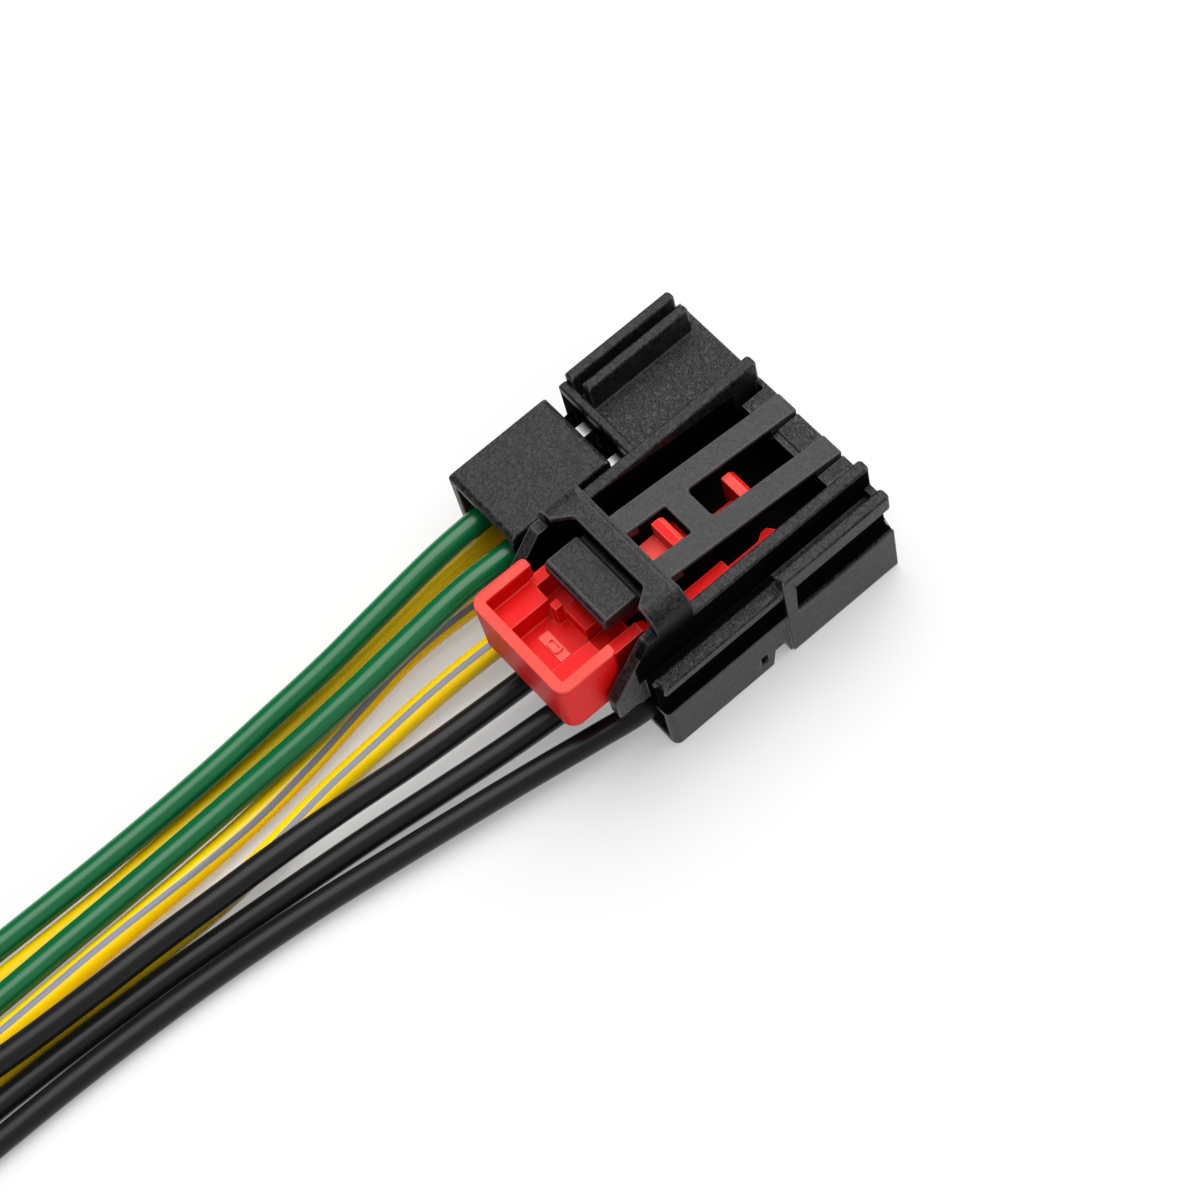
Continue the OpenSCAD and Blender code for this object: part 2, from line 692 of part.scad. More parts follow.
// Raised pad in the trough with a rounded ring on it
module pad() {
    y = [-tray_y - pad_y - pad_l, -tray_y - pad_y];
    band = pad_l / 5;
    ring_x = pad_l / 2 + band;
    span([-pad_w / 2, pad_w / 2], y, [trough_h - eps, trough_h + pad_h]);
    along_z([trough_h, trough_h + 2 * pad_h])
        difference() {
            soft_rect([-ring_x, ring_x], [y[0] + band / 2, y[1] - band / 2], band);
            soft_rect([-ring_x + band, ring_x - band], [y[0] + 1.5 * band, y[1] - 1.5 * band], band / 2);
        }
}

// Tongue under the latch arm with its two lugs, and the plate that carries it
module tongue() {
    lug = [-lug_y - lug_l, -lug_y];
    tip = [-tongue_y - tip_l, -tongue_y];
    rear = -tray_y - tray_rake;
    along_x([-tongue_w / 2, tongue_w / 2]) {
        polygon([
            [rear, slide_z], [rear, trough_h], [-tray_y, trough_h], [-tray_y, tongue_h], [lug[0], tongue_h],
            [lug[0], lug_h], [lug[1] - lug_l / 3, lug_h], [lug[1], lug_h - lug_l / 3], [lug[1], ledge_h],
            [lug[1] + ledge_l, ledge_h], [lug[1] + ledge_l, slide_z],
        ]);
        polygon([
            [tip[0], slide_z], [tip[0], tip_h], [tip[1] - tip_l / 3, tip_h], [tip[1], tip_h - tip_l / 3],
            [tip[1], slide_z],
        ]);
    }
    span([-web_w / 2, web_w / 2], [lug[1] + ledge_l - eps, tip[0] + eps], [slide_z, web_h]);
    span([-prong_x - prong_w, prong_x + prong_w], [rear, -tray_y + plate_l], [slide_z, plate_h]);
}

// One prong beside the latch arm, with a barb at its thin end
module prong(side) {
    outer = prong_x + prong_w;
    mirror([side < 0 ? 1 : 0, 0, 0]) {
        along_x([prong_x, outer])
            polygon([
                [-tray_y - recess_l, slide_z], [-tray_y - recess_l, prong_rise],
                [-tray_y + plate_l, prong_rise], [fin_y + yoke_l / 2, prong_h], [-thin_y, prong_h],
                [-thin_y, slide_z],
            ]);
        along_z([slide_z, hook_h])
            polygon([
                [outer, -thin_y - eps], [outer - thin_w, -thin_y - eps],
                [outer - thin_w, -prong_y - hook_l], [prong_x, -prong_y - hook_l + hook_ramp],
                [prong_x, -prong_y - hook_ramp], [outer, -prong_y],
            ]);
    }
}

module lock_slide() {
    color([0.86, 0.14, 0.13])
        at_latch() {
            tray();
            tongue();
            prong(-1);
            prong(1);
        }
}

// A terminal: an open box, its folded neck, the conductor crimp and the crimp round the insulation
module terminal(i) {
    base = -cav_h / 2;
    box_y = front_y - front_wall;
    lead_y = front_y - strip_y;
    grip = [lead_y - grip_y - grip_l, lead_y - grip_y];
    x = [-box_w / 2, box_w / 2];
    color([0.78, 0.78, 0.76])
        translate([way_x(i), 0, way_z(i)]) {
            difference() {
                span(x, [box_y - box_l, box_y], [base, base + box_h]);
                span([x[0] + sheet_t, x[1] - sheet_t], [box_y - box_l - past, box_y + past],
                    [base + sheet_t, base + box_h - sheet_t]);
            }
            span([-neck_w / 2, neck_w / 2], [lead_y + crimp_l - eps, box_y - box_l + sheet_t],
                [base, base + neck_h]);
            along_y([lead_y, lead_y + crimp_l]) {
                circle(d = crimp_d);
                translate([-crimp_d / 2, base])
                    square([crimp_d, -base]);
            }
            difference() {
                union() {
                    span([-crimp_d / 2, crimp_d / 2], [grip[0], lead_y + eps], [base, base + sheet_t]);
                    along_y(grip)
                        circle(-base);
                }
                along_y([grip[0] - past, lead_y])
                    circle(lead_d / 2 + grip_gap);
            }
        }
}

// A lead: one tube from its crimp through the cavity and along its route
module lead(i, tint) {
    start = [way_x(i), front_y - strip_y, way_z(i)];
    exit = [way_x(i), rear_y, way_z(i)];
    path = concat([start, exit], routes[i]);
    n = lead_sides;
    last = len(path) - 1;
    points = [for (k = [0 : last]) each ring(path[k], k == 0 ? [0, -1, 0] : heading(path, k), lead_d / 2)];
    sides = [for (k = [0 : last - 1], j = [0 : n - 1])
        let (a = k * n + j, b = k * n + (j + 1) % n)
        each [[a, b, b + n], [a, b + n, a + n]]];
    near = [for (j = [n - 1 : -1 : 0]) j];
    far = [for (j = [0 : n - 1]) last * n + j];
    color(tint)
        polyhedron(points, concat(sides, [near, far]));
}

green = [0, 0.42, 0.24];
yellow = [0.96, 0.82, 0.05];
black = [0.13, 0.13, 0.14];

housing();
latch_lever();
lock_slide();
terminal(0);  // terminal_1
terminal(1);  // terminal_2
terminal(2);  // terminal_3
terminal(3);  // terminal_4
terminal(4);  // terminal_5
terminal(5);  // terminal_6
terminal(6);  // terminal_7
terminal(7);  // terminal_8
lead(0, green);  // lead_1
lead(1, green);  // lead_2
lead(2, yellow);  // lead_3
lead(3, yellow);  // lead_4
lead(4, yellow);  // lead_5
lead(5, black);  // lead_6
lead(6, black);  // lead_7
lead(7, black);  // lead_8
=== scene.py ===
import math

import bmesh
import bpy
from mathutils import Matrix, Vector
from mathutils.bvhtree import BVHTree


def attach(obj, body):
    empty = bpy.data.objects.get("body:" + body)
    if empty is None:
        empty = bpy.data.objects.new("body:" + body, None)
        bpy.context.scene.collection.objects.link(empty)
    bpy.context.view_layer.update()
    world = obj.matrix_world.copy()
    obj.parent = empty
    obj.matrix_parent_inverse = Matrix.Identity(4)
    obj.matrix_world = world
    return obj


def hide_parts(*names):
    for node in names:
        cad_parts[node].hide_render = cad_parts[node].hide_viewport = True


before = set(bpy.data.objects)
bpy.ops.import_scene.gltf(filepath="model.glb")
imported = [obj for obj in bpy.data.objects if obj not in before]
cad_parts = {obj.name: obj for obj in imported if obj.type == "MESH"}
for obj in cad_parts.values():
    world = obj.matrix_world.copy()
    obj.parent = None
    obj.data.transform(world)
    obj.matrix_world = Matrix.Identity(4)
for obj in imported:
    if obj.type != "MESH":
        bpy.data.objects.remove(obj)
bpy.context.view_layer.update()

scene = bpy.context.scene
scene.view_settings.view_transform = "Standard"
mm = 0.001


# A socket of a node tree that takes part in Python expressions
class Link:
    def __init__(self, net, socket):
        self.net = net
        self.socket = socket

    def __add__(self, other):
        return self.net.maths("ADD", self, other)

    def __radd__(self, other):
        return self.net.maths("ADD", other, self)

    def __sub__(self, other):
        return self.net.maths("SUBTRACT", self, other)

    def __rsub__(self, other):
        return self.net.maths("SUBTRACT", other, self)

    def __mul__(self, other):
        return self.net.maths("MULTIPLY", self, other)

    def __rmul__(self, other):
        return self.net.maths("MULTIPLY", other, self)

    def __gt__(self, other):
        return self.net.maths("GREATER_THAN", self, other)

    def __lt__(self, other):
        return self.net.maths("LESS_THAN", self, other)

    def size(self):  # without its sign
        return self.net.maths("ABSOLUTE", self, 0)

    def smooth(self, low, high):  # 0 below low, 1 above high
        values = {"Value": self, "From Min": low, "From Max": high}
        return self.net.add("ShaderNodeMapRange", {"interpolation_type": "SMOOTHSTEP"}, values)


# A node tree that is filled by short calls
class Net:
    def __init__(self, tree):
        self.tree = tree
        tree.nodes.clear()

    def add(self, kind, settings=None, values=None, out=0):  # out: name or number of the output handed on
        node = self.tree.nodes.new(kind)
        for key, value in (settings or {}).items():
            setattr(node, key, value)
        for key, value in (values or {}).items():
            self.feed(node.inputs[key], value)
        return Link(self, node.outputs[out]) if len(node.outputs) else node

    def feed(self, socket, value):
        if isinstance(value, Link):
            self.tree.links.new(value.socket, socket)
        else:
            socket.default_value = value

    def maths(self, operation, first, second):
        return self.add("ShaderNodeMath", {"operation": operation}, {0: first, 1: second})

    def highest(self, first, second):
        return self.maths("MAXIMUM", first, second)

    def tint(self, factor, first, second):  # colour mix, by the sockets of the node's colour mode
        return self.add("ShaderNodeMix", {"data_type": "RGBA"}, {0: factor, 6: first, 7: second}, out=2)

    def split(self, vector):
        node = self.add("ShaderNodeSeparateXYZ", None, {0: vector}).socket.node
        return [Link(self, socket) for socket in node.outputs]

    def attribute(self, name, out):
        return self.add("ShaderNodeAttribute", {"attribute_name": name}, out=out)

    def objectPlace(self):
        return self.add("ShaderNodeTexCoord", out="Object")

    def rays(self, kind):
        return self.add("ShaderNodeLightPath", out=kind)

    def noise(self, vector, scale, detail, rough=0.5, warp=0.0):  # scale: patches in a metre
        values = {"Vector": vector, "Scale": scale, "Detail": detail}
        values.update({"Roughness": rough, "Distortion": warp})
        return self.add("ShaderNodeTexNoise", None, values)

    def bump(self, height, depth, strength, normal=None):
        values = {"Height": height, "Distance": depth, "Strength": strength}
        if normal:
            values["Normal"] = normal
        return self.add("ShaderNodeBump", None, values)


def grey(level):
    return (level, level, level, 1)


def newMaterial(name):
    material = bpy.data.materials.new(name)
    material.use_nodes = True
    return material, Net(material.node_tree)


paintedShadeColour = grey(0.002)  # colour of the painted shade in deep places


def finishMaterial(net, values, shadeMask=None):  # mask of the deep places that get painted shade
    shader = net.add("ShaderNodeBsdfPrincipled", None, values)
    if shadeMask:
        # painted shade: a near-black matt surface mixed in where the mask says
        matt = net.add("ShaderNodeBsdfDiffuse", None, {"Color": paintedShadeColour})
        shader = net.add("ShaderNodeMixShader", None, {0: shadeMask, 1: shader, 2: matt})
    net.add("ShaderNodeOutputMaterial", None, {"Surface": shader})


# The camera stands where the photo was taken from, roll and framing included
shot = {
    "azimuth": 65.603,  # degrees, like the next two
    "elevation": 62.681,
    "roll": -17.704,
    "aim": (5.3, 15.65, 0),  # mm, front end of the latch on the surface
    "aimOffset": (24.069, 11.951),  # mm, from the middle of the picture to the aim, right and up
    "distance": 347.948,  # mm
    "focal": 3200.3,  # pixels
    "picture": 1200,  # pixels across
    "sensor": 36,  # mm
    "clip": (0.01, 20),  # metres
}


def makeCamera():
    around, above, roll = [math.radians(shot[key]) for key in ("azimuth", "elevation", "roll")]
    reach = math.cos(above)
    back = Vector((math.sin(around) * reach, -math.cos(around) * reach, math.sin(above)))
    level = Vector((math.cos(around), math.sin(around), 0))
    upright = back.cross(level)
    right = math.cos(roll) * level + math.sin(roll) * upright
    up = math.cos(roll) * upright - math.sin(roll) * level
    aside, higher = shot["aimOffset"]
    eye = Vector(shot["aim"]) - aside * right - higher * up + shot["distance"] * back
    data = bpy.data.cameras.new("camera")
    data.sensor_width = shot["sensor"]
    data.lens = shot["focal"] / shot["picture"] * shot["sensor"]
    data.clip_start, data.clip_end = shot["clip"]
    camera = bpy.data.objects.new("camera", data)
    camera.matrix_world = Matrix.Translation(eye * mm) @ Matrix((right, up, back)).transposed().to_4x4()
    scene.collection.objects.link(camera)
    scene.camera = camera


makeCamera()
print("camera set")

# Leads, one smooth curve each: points in mm from the crimp, through the exit, down to the surface
routes = {
    "lead_1": [
        (-13.8, -6.5, 8.8), (-13.8, -15.65, 8.8), (-13.7, -22, 8.5), (-13.3, -30, 7.6), (-12.9, -38, 6.6),
        (-12.8, -46, 5.7), (-12.7, -54, 4.9), (-12.8, -62, 4.2), (-13, -70, 3.7), (-13.3, -78, 3.3),
        (-13.6, -86, 3), (-14.1, -94, 2.7), (-14.9, -102, 2.2), (-15.1, -110, 1.7), (-15, -118, 1.4),
    ],
    "lead_2": [
        (-8.4, -6.5, 8.8), (-8.4, -15.65, 8.8), (-8.7, -22, 8.5), (-8.5, -30, 7.7), (-8.2, -38, 6.9),
        (-8.2, -46, 5.9), (-8.4, -54, 4.9), (-8.5, -62, 4.2), (-8.6, -70, 3.7), (-8.7, -78, 3.3),
        (-8.7, -86, 3), (-8.8, -94, 2.6), (-9, -102, 2), (-9.1, -110, 1.6), (-9, -118, 1.4),
    ],
    "lead_3": [
        (-13.8, -6.5, 3.8), (-13.8, -15.65, 3.8), (-13.6, -22, 3.6), (-13, -30, 2.9), (-12.5, -38, 2.3),
        (-12, -46, 1.9), (-11.6, -54, 1.6), (-11.2, -62, 1.5), (-10.9, -70, 1.4), (-10.9, -78, 1.4),
        (-11, -86, 1.4), (-11.3, -94, 1.4), (-11.9, -102, 1.4), (-12.1, -110, 1.4), (-12, -118, 1.4),
    ],
    "lead_4": [
        (-8.4, -6.5, 3.8), (-8.4, -15.65, 3.8), (-9.1, -22, 3.8), (-9.4, -30, 3.3), (-8.5, -38, 2.8),
        (-7.4, -46, 2.4), (-6.6, -54, 2.1), (-6.3, -62, 1.9), (-6.2, -70, 1.8), (-6.1, -78, 1.7),
        (-6, -86, 1.6), (-6, -94, 1.5), (-6.1, -102, 1.4), (-6.1, -110, 1.4), (-6, -118, 1.4),
    ],
    "lead_5": [
        (-3, -6.5, 3.8), (-3, -15.65, 3.8), (-3.5, -22, 3.6), (-4, -30, 2.8), (-4, -38, 2),
        (-3.7, -46, 1.6), (-2.8, -54, 1.4), (-2, -62, 1.4), (-2.1, -70, 1.4), (-2.5, -78, 1.4),
        (-2.9, -86, 1.4), (-3.1, -94, 1.4), (-3.1, -102, 1.4), (-3.1, -110, 1.4), (-3, -118, 1.4),
    ],
    "lead_6": [
        (2.4, -6.5, 3.8), (2.4, -15.65, 3.8), (2, -22, 3.8), (1.5, -30, 3.8), (0.9, -38, 3.9),
        (0.1, -46, 4.2), (-0.6, -54, 4.3), (-1.1, -62, 4.3), (-1.6, -70, 4.3), (-1.9, -78, 4.3),
        (-2.3, -86, 4.3), (-2.9, -94, 4.3), (-3.4, -102, 4.3), (-3.8, -110, 4.2), (-4, -118, 4.1),
    ],
    "lead_7": [
        (7.8, -6.5, 3.8), (7.8, -15.65, 3.8), (7.3, -22, 3.8), (6.3, -30, 3.3), (5.1, -38, 2.9),
        (3.8, -46, 2.4), (2.7, -54, 1.9), (1.7, -62, 1.5), (0.9, -70, 1.4), (0.4, -78, 1.4),
        (0, -86, 1.4), (-0.2, -94, 1.4), (-0.2, -102, 1.4), (-0.1, -110, 1.4), (0, -118, 1.4),
    ],
    "lead_8": [
        (13.2, -6.5, 3.8), (13.2, -15.65, 3.8), (12.1, -22, 3.6), (10.3, -30, 2.9), (8.7, -38, 2.4),
        (7.2, -46, 2), (5.8, -54, 1.7), (4.7, -62, 1.5), (3.9, -70, 1.4), (3.4, -78, 1.4),
        (3.1, -86, 1.4), (3, -94, 1.4), (3, -102, 1.4), (3, -110, 1.4), (3, -118, 1.4),
    ],
}
lead = {
    "diameter": 2.8,  # mm, like the other lengths here
    "sides": 28,
    "step": 0.8,  # between rings
    "smoothing": 16,  # points of the curve for each of the route's own
    "crease": 40,  # degrees, keeps the cut end keen
}
leadSlots = {
    "lead_1": "green_insulation", "lead_2": "green_insulation", "lead_3": "yellow_insulation",
    "lead_4": "striped_insulation", "lead_5": "striped_insulation",
    "lead_6": "black_insulation", "lead_7": "black_insulation", "lead_8": "black_insulation",
}
insulations = {
    "green_insulation": {"colour": (0.0005, 0.122, 0.035, 1), "gloss": 1.43, "rough": 0.13},
    # painted shade: a darker copy of the striped leads' yellow, for the lead that lies in shade between
    # the greens
    "yellow_insulation": {"colour": (0.86, 0.55, 0.0004, 1), "gloss": 1.22, "rough": 0.20},
    "striped_insulation": {
        "colour": (1.0, 0.67, 0.0004, 1), "stripe": (0.19, 0.20, 0.255, 1), "gloss": 1.36, "rough": 0.16,
    },
    "black_insulation": {"colour": (0.009, 0.009, 0.0095, 1), "gloss": 1.285, "rough": 0.24},
}
insulation = {  # what all the leads share
    "cloud": {"scale": 180, "detail": 3},
    "cloudLow": 0.25,  # value of the clouds where the colour is darkest
    "cloudGain": 1.6,
    "shade": 0.88,  # share of the colour left there
    "cloudRough": 0.10,
    "lines": {"scale": 1300, "detail": 1},  # left by the die
    "lineStretch": 0.03,
    "lineDepth": 0.0012,  # mm
    "lineStrength": 0.5,
}
stripe = {
    "width": 0.8,  # mm, like the next two
    "edge": 0.06,
    "waver": 0.06,
    "wave": {"scale": 60, "detail": 2},
    "turns": {"lead_4": (-38, -2), "lead_5": (-8, -8)},  # degrees from the top, at plug and far end
    "twist": (0.40, 0.65),  # share of the length over which a lead turns
}
copper = {
    "strand": 0.36,  # mm, diameter of one strand
    "sides": 10,
    "fill": 0.98,  # share of its room that a strand takes
    "rings": 2,  # round the middle strand
    "ringStep": 6,  # strands that each ring has more than the last
    "bare": 0.35,  # mm past the cut insulation
    "length": 4,  # of a strand, in bare lengths, most of it inside
    "dull": (0.72, 0.30, 0.13, 1),
    "bright": (0.90, 0.45, 0.24, 1),
    "cloud": {"scale": 900, "detail": 3},
    "rough": 0.22,
    "cloudRough": 0.25,
}


def insulationMaterial(name, finish):
    material, net = newMaterial(name)
    along = net.attribute("along", "Fac")
    across, below = net.split(net.attribute("section", "Vector"))[:2]
    place = net.add("ShaderNodeCombineXYZ", None, {0: across, 1: below, 2: along})
    stretched = along * insulation["lineStretch"]
    drawn = net.add("ShaderNodeCombineXYZ", None, {0: across, 1: below, 2: stretched})
    cloud = net.noise(place, **insulation["cloud"])
    lines = net.noise(drawn, **insulation["lines"])
    shade = [part * insulation["shade"] for part in finish["colour"][:3]] + [1]
    base = net.tint((cloud - insulation["cloudLow"]) * insulation["cloudGain"], shade, finish["colour"])
    if "stripe" in finish:
        waver = (net.noise(along, **stripe["wave"]) - 0.5) * (2 * stripe["waver"] * mm)
        half = stripe["width"] / 2 * mm
        onStripe = (1 - (across + waver).size().smooth(half - stripe["edge"] * mm, half)) * (below < 0)
        base = net.tint(onStripe, base, finish["stripe"])
    finishMaterial(net, {
        "Base Color": base,
        "Roughness": finish["rough"] + insulation["cloudRough"] * cloud,
        "Normal": net.bump(lines, insulation["lineDepth"] * mm, insulation["lineStrength"]),
        "IOR": finish["gloss"],
    })
    return material


def copperMaterial():
    material, net = newMaterial("copper strand")
    cloud = net.noise(net.objectPlace(), **copper["cloud"])
    finishMaterial(net, {
        "Base Color": net.tint(cloud, copper["dull"], copper["bright"]),
        "Metallic": 1.0,
        "Roughness": copper["rough"] + copper["cloudRough"] * cloud,
    })
    return material


# A geometry tree with named inputs; the first is always the geometry
def newTree(name, inputs):
    tree = bpy.data.node_groups.new(name, "GeometryNodeTree")
    tree.interface.new_socket("Geometry", in_out="INPUT", socket_type="NodeSocketGeometry")
    for label, kind in inputs.items():
        tree.interface.new_socket(label, in_out="INPUT", socket_type="NodeSocket" + kind)
    tree.interface.new_socket("Geometry", in_out="OUTPUT", socket_type="NodeSocketGeometry")
    net = Net(tree)
    start = net.add("NodeGroupInput").socket.node
    return tree, net, {socket.name: Link(net, socket) for socket in start.outputs if socket.name}


def endTree(net, geometry, material):
    solid = net.add("GeometryNodeRealizeInstances", None, {"Geometry": geometry})
    done = net.add("GeometryNodeSetMaterial", None, {"Geometry": solid, "Material": material})
    net.add("NodeGroupOutput", None, {"Geometry": done})


def leadTree():
    inputs = {
        "Diameter": "Float", "Sides": "Int", "Step": "Float",
        "Turn at plug": "Float", "Turn at end": "Float", "Insulation": "Material",
    }
    tree, net, given = newTree("lead along its route", inputs)
    line = net.add("GeometryNodeCurveSplineType", {"spline_type": "CATMULL_ROM"},
                   {"Curve": given["Geometry"]})
    line = net.add("GeometryNodeSetSplineResolution", None,
                   {"Geometry": line, "Resolution": lead["smoothing"]})
    line = net.add("GeometryNodeResampleCurve", {"mode": "LENGTH"},
                   {"Curve": line, "Length": given["Step"]})
    line = net.add("GeometryNodeSetCurveNormal", {"mode": "Z_UP"}, {"Curve": line})
    share = net.add("GeometryNodeSplineParameter", out="Factor").smooth(*stripe["twist"])
    turn = given["Turn at plug"] + share * (given["Turn at end"] - given["Turn at plug"])
    line = net.add("GeometryNodeSetCurveTilt", None, {"Curve": line, "Tilt": turn})
    length = net.add("GeometryNodeSplineParameter", out="Length")
    line = net.add("GeometryNodeStoreNamedAttribute", {"data_type": "FLOAT", "domain": "POINT"},
                   {"Geometry": line, "Name": "along", "Value": length})
    circle = net.add("GeometryNodeCurvePrimitiveCircle", {"mode": "RADIUS"},
                     {"Resolution": given["Sides"], "Radius": given["Diameter"] * 0.5})
    spot = net.add("GeometryNodeInputPosition")
    circle = net.add("GeometryNodeStoreNamedAttribute", {"data_type": "FLOAT_VECTOR", "domain": "POINT"},
                     {"Geometry": circle, "Name": "section", "Value": spot})
    tube = net.add("GeometryNodeCurveToMesh", None,
                   {"Curve": line, "Profile Curve": circle, "Fill Caps": True})
    tube = net.add("GeometryNodeSetShadeSmooth", None, {"Geometry": tube, "Shade Smooth": True})
    endTree(net, tube, given["Insulation"])
    return tree


def strandTree():
    inputs = {
        "Strand": "Float", "Bare": "Float",
        "Place": "Vector", "Turn": "Rotation", "Copper": "Material",
    }
    tree, net, given = newTree("copper strands in a cut end", inputs)
    middle = net.add("GeometryNodeMeshLine", {"mode": "OFFSET"}, {"Count": 1})
    points = net.add("GeometryNodeJoinGeometry")
    join = points.socket.node.inputs[0]
    net.feed(join, middle)
    for ring in range(1, copper["rings"] + 1):
        sizes = {"Vertices": copper["ringStep"] * ring, "Radius": given["Strand"] * ring}
        net.feed(join, net.add("GeometryNodeMeshCircle", None, sizes))
    sizes = {
        "Vertices": copper["sides"],
        "Radius": given["Strand"] * (copper["fill"] / 2),
        "Depth": given["Bare"] * copper["length"],
    }
    strand = net.add("GeometryNodeMeshCylinder", None, sizes)
    spread = net.add("GeometryNodeInstanceOnPoints", None, {"Points": points, "Instance": strand})
    cluster = net.add("GeometryNodeRealizeInstances", None, {"Geometry": spread})
    cluster = net.add("GeometryNodeTransform", None,
                      {"Geometry": cluster, "Translation": given["Place"], "Rotation": given["Turn"]})
    endTree(net, cluster, given["Copper"])
    return tree


def plainMesh(source, name):  # what the modifiers make of an object, which is then removed
    source.update_tag()
    graph = bpy.context.evaluated_depsgraph_get()
    mesh = bpy.data.meshes.new_from_object(source.evaluated_get(graph), depsgraph=graph)
    mesh.name = name
    bpy.data.objects.remove(source)
    return mesh


# Runs a tree on an object and keeps the result as a plain mesh at the origin
def meshFromTree(source, tree, values, name):
    scene.collection.objects.link(source)
    modifier = source.modifiers.new(name, "NODES")
    modifier.node_group = tree
    sockets = {item.name: item.identifier for item in tree.interface.items_tree if item.in_out == "INPUT"}
    for label, value in values.items():
        modifier[sockets[label]] = value
    piece = bpy.data.objects.new(name, plainMesh(source, name))
    scene.collection.objects.link(piece)
    return piece


def routeCurve(name, points):
    data = bpy.data.curves.new(name, "CURVE")
    data.dimensions = "3D"
    spline = data.splines.new("POLY")
    spline.points.add(len(points) - 1)
    for spot, point in zip(spline.points, points):
        spot.co = (*point, 1)
    return bpy.data.objects.new(name, data)


def makeLeads():
    tubes = leadTree()
    strands = strandTree()
    copperFinish = copperMaterial()
    materials = {}
    for slot, finish in insulations.items():
        materials[slot] = insulationMaterial(slot.replace("_", " "), finish)
    for node, route in routes.items():
        points = [Vector(point) * mm for point in route]
        turns = stripe["turns"].get(node, (0, 0))
        values = {
            "Diameter": lead["diameter"] * mm, "Sides": lead["sides"], "Step": lead["step"] * mm,
            "Turn at plug": math.radians(turns[0]), "Turn at end": math.radians(turns[1]),
            "Insulation": materials[leadSlots[node]],
        }
        piece = meshFromTree(routeCurve("route", points), tubes, values, node.replace("lead", "wire"))
        piece.data.set_sharp_from_angle(angle=math.radians(lead["crease"]))
        heading = (points[-1] - points[-2]).normalized()
        end = {
            "Strand": copper["strand"] * mm, "Bare": copper["bare"] * mm,
            "Place": points[-1] - heading * copper["bare"] * mm,
            "Turn": heading.to_track_quat("Z", "Y").to_euler(), "Copper": copperFinish,
        }
        seed = bpy.data.objects.new("seed", bpy.data.meshes.new("seed"))
        copperEnd = meshFromTree(seed, strands, end, node.replace("lead", "strands"))
        for part in (piece, copperEnd):
            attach(part, "connector")
        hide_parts(node)


makeLeads()
print("leads laid")

# Moulded pieces: the solids' own form with its edges rounded as a mould leaves them
moulded = {
    "housing": {
        "piece": "housing_shell", "body": "connector", "slot": "black_plastic",
        "round": 0.18,  # mm
        "split": True,  # its many-cornered walls are cut into plain ones
    },
    "latch_lever": {
        "piece": "latch_arm", "body": "lever", "slot": "black_plastic",
        "round": 0.2,
        "split": False,
    },
    "lock_slide": {
        "piece": "red_slide", "body": "slide", "slot": "red_plastic",
        "round": 0.12,
        "split": False,
    },
}
mould = {
    "steps": 3,  # faces across a rounding
    "sharp": 28,  # degrees, keener edges are rounded
    "flat": 0.8,  # degrees, faces that lie closer become one
    "bend": 20,  # degrees, walls that meet flatter shade as one
    "join": 0.012,  # mm, closer points become one
    "sliver": 0.003,  # mm, shorter edges are dropped
    "stray": 0.08,  # mm, how far a corner of the rounding may stand off the solid
    "fine": 0.3,  # share of the rounding on the small mark
}
fineMark = ((3.2, -21.2, 12.7), (7.4, -18.9, 13.4))  # mm, box of the small ring and its pad
spark = {"scale": 1 / (0.46 * mm), "detail": 2, "rough": 0.55, "warp": 1.4}  # spark-eroded grain
black = {
    "skin": (0.0005, 0.0005, 0.0008, 1),
    "lighter": (0.030, 0.030, 0.031, 1),  # tops of the grain
    "armSheen": (0.062, 0.062, 0.063, 1),  # painted sheen, lighter where the light falls on the arm's top
    "armSheenShare": 0.5,
    "coarse": (0.060, 0.060, 0.061, 1),
    "coarseShare": 0.1,
    "ridgeShare": 0.75,
    "edge": (0.080, 0.080, 0.081, 1),  # rounded edges: rubbed wear with a painted highlight
    "edgeShare": 0.3,
    "edgeClouds": 0.7,
    "cloud": {"scale": 260, "detail": 4, "rough": 0.6},
    "cloudShare": 0.2,
    "sparkShare": 0.8,
    "sparkRange": (0.36, 0.64),
    "sparkDepth": 0.10,  # mm
    "worm": {"scale": 1 / (0.66 * mm), "detail": 2, "rough": 0.4, "warp": 1.6},  # the coarser grain
    "wormDepth": 0.20,  # mm
    "ridgeRange": (0.03, 0.3),
    "strength": 0.9,  # of both grains
    "rough": 0.28,
    "cloudRough": 0.10,
    "sparkRough": 0.08,
    "edgePolish": 0.06,
    "gloss": 1.28,
    # how far the painted shade darkens deep places
    "paintedShadeShare": 0.97,
}
coarseFaces = {  # boxes in mm whose faces have the coarser grain
    "keyedDeck": ((-14.2, 0.9, 10.9), (-4.1, 16.9, 11.1)),
    "lands": ((-1.6, 11.7, 14.6), (12.2, 15.8, 14.85)),
    "rearLedge": ((15.9, -15.5, 13.3), (17.1, 1.2, 13.5)),
    "frontLedge": ((14.9, 1.6, 13.0), (16.2, 16.9, 13.2)),
}
armTop = ((-2.0, -9.5, 14.0), (13.0, 16.0, 20.0))  # mm, box of the arm's top that gets a painted sheen
